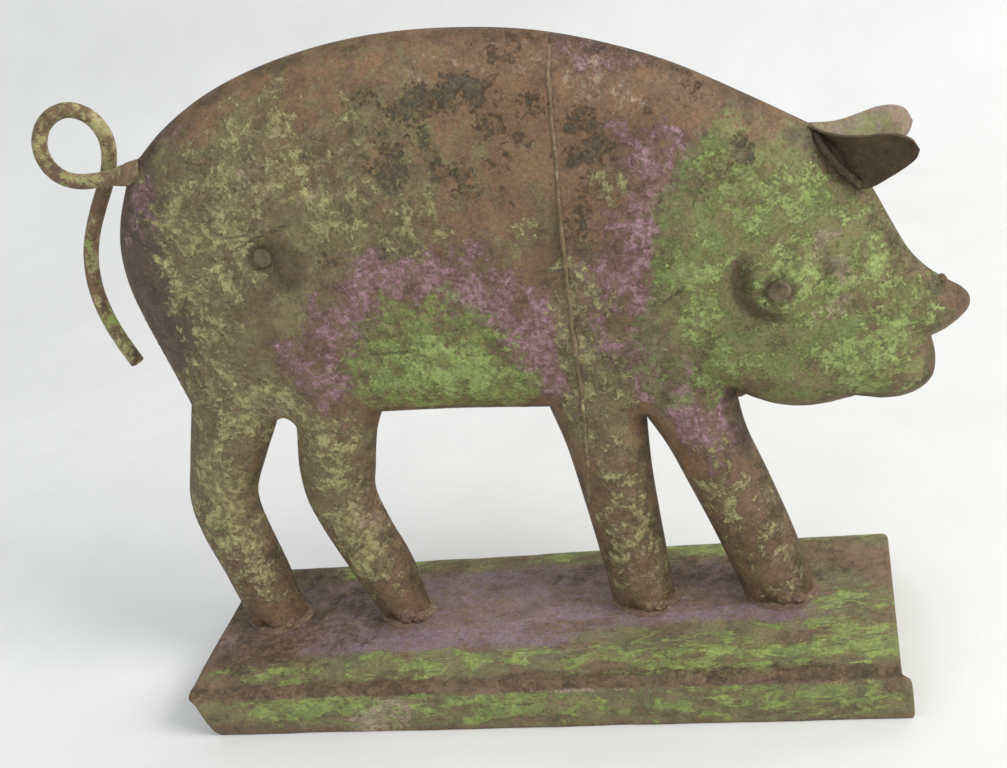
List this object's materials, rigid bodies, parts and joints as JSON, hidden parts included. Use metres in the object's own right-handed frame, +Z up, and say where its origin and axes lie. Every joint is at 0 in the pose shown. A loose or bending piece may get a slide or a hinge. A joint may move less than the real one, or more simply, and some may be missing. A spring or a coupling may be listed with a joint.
{
  "type": "pig figure",
  "caption": "Hollow folk-art pig of two closed sheet-metal sides with a looped rod tail, standing on a low folded tray base.",
  "frame": {"origin": "on the surface it stands on, under the middle of the whole object's box", "axes": "+X from the tail to the snout, -Y towards the near side, which has the seam, +Z up"},
  "size_m": [0.2606, 0.07, 0.2106],
  "materials": {
    "painted_sides": "weathered layered green, lilac, rust and olive paint on sheet steel",
    "painted_ears": "weathered brown and green paint",
    "painted_tail": "weathered olive, green and brown paint on rod",
    "filler_metal": "rough filler metal under worn brown paint",
    "painted_rivets": "dark brown paint worn on rivet heads",
    "painted_base": "weathered lime green, purple and brown paint on folded sheet steel"
  },
  "bodies": {
    "root": {"near_rear_panel": "painted_sides", "near_front_panel": "painted_sides", "far_side_panel": "painted_sides", "near_side_seam": "filler_metal", "edge_tack_welds": "filler_metal", "eye_rivet": "painted_rivets", "rump_rivet": "painted_rivets", "near_ear": "painted_ears", "far_ear": "painted_ears", "near_ear_weld": "filler_metal", "far_ear_weld": "filler_metal", "tail_wire": "painted_tail", "tail_braze": "filler_metal", "base_sheet": "painted_base", "base_left_end": "painted_base", "base_right_end": "painted_base", "hind_left_foot_weld": "filler_metal", "hind_right_foot_weld": "filler_metal", "front_left_foot_weld": "filler_metal", "front_right_foot_weld": "filler_metal"}
  },
  "joints": []
}
